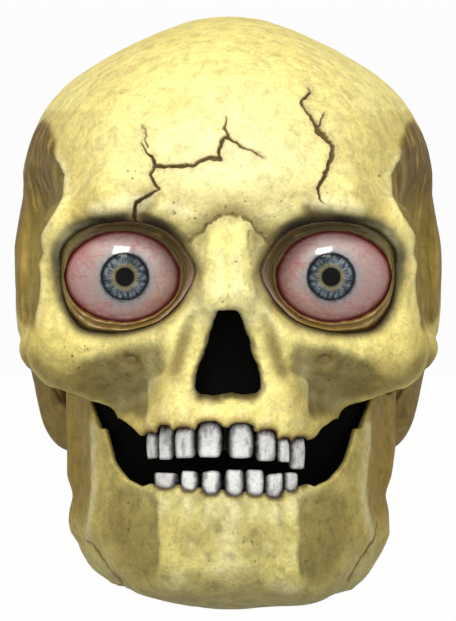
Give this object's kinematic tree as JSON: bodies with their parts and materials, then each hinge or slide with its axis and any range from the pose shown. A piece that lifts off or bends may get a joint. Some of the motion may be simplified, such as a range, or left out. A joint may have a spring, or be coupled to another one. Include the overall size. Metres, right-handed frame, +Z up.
{
  "type": "latex skull mask",
  "caption": "Open-backed latex skull mask with a hinged jaw, bulging eyes, separate teeth, foam pads and an elastic head harness.",
  "frame": {"origin": "middle of the forehead pad's flat rear face, where the wearer's forehead carries the mask", "axes": "+Y out of the pad towards the wearer, so the face looks along -Y; +Z up; +X towards the wearer's left"},
  "size_m": [0.202, 0.2009, 0.2799],
  "materials": {
    "cranium_latex": "matt painted latex, airbrushed bone yellow over ochre",
    "jaw_latex": "matt painted latex, airbrushed bone yellow over grey-green",
    "black_mesh": "matt black gauze",
    "gum_black": "matt black latex",
    "tooth_silver": "silver-grey gloss with dark edges",
    "foam": "charcoal open-cell foam",
    "patch_latex": "plain latex, unpainted",
    "elastic": "black woven elastic",
    "buckle_plastic": "moulded, fine grain",
    "sclera": "clear-coated, red veins",
    "iris": "blue-grey print, black pupil",
    "cornea": "clear, polished",
    "eyelid": "wet-look ochre-brown latex",
    "retainer_plastic": "moulded",
    "steel": "brushed",
    "nylon": "natural nylon"
  },
  "bodies": {
    "cranium": {"cranium_shell": "cranium_latex", "nose_mesh": "black_mesh", "mouth_scrim": "black_mesh", "upper_tooth_bar": "gum_black", "upper_tooth_1": "tooth_silver", "upper_tooth_2": "tooth_silver", "upper_tooth_3": "tooth_silver", "upper_tooth_4": "tooth_silver", "upper_tooth_5": "tooth_silver", "upper_tooth_6": "tooth_silver", "upper_tooth_7": "tooth_silver", "upper_tooth_8": "tooth_silver", "forehead_pad": "foam", "crown_pad": "foam", "top_strap_patch": "patch_latex", "rear_strap": "elastic", "crown_strap": "elastic", "strap_keeper": "elastic", "eye_dome_left": "sclera", "iris_left": "iris", "cornea_left": "cornea", "eyelid_rim_left": "eyelid", "eye_retainer_left": "retainer_plastic", "temple_pad_left": "foam", "strap_patch_left": "patch_latex", "pivot_plate_left": "steel", "pivot_pin_left": "steel", "pivot_bush_left": "nylon", "pivot_cap_left": "steel", "jaw_elastic_left": "elastic", "eye_dome_right": "sclera", "iris_right": "iris", "cornea_right": "cornea", "eyelid_rim_right": "eyelid", "eye_retainer_right": "retainer_plastic", "temple_pad_right": "foam", "strap_patch_right": "patch_latex", "pivot_plate_right": "steel", "pivot_pin_right": "steel", "pivot_bush_right": "nylon", "pivot_cap_right": "steel", "jaw_elastic_right": "elastic"},
    "jaw": {"jaw_shell": "jaw_latex", "lower_tooth_bar": "gum_black", "chin_pad": "foam", "lower_tooth_1": "tooth_silver", "lower_tooth_2": "tooth_silver", "lower_tooth_3": "tooth_silver", "lower_tooth_4": "tooth_silver", "lower_tooth_5": "tooth_silver", "lower_tooth_6": "tooth_silver", "lower_tooth_7": "tooth_silver", "jaw_hinge_arm_left": "nylon", "jaw_hinge_arm_right": "nylon"},
    "slider": {"strap_slider": "buckle_plastic"}
  },
  "joints": [
    {"name": "jaw_hinge", "type": "hinge", "parent": "cranium", "child": "jaw", "pos_m": [0, 0.079, -0.103], "axis": [1, 0, 0], "range_deg": [-1, 12], "stiffness_Nm_per_rad": 4, "springref_deg": -0.86, "deforming": ["mouth_scrim", "jaw_elastic_left", "jaw_elastic_right"]},
    {"name": "slider_slide", "type": "slide", "parent": "cranium", "child": "slider", "axis": [1, 0, 0], "range_m": [-0.014, 0.008]}
  ]
}
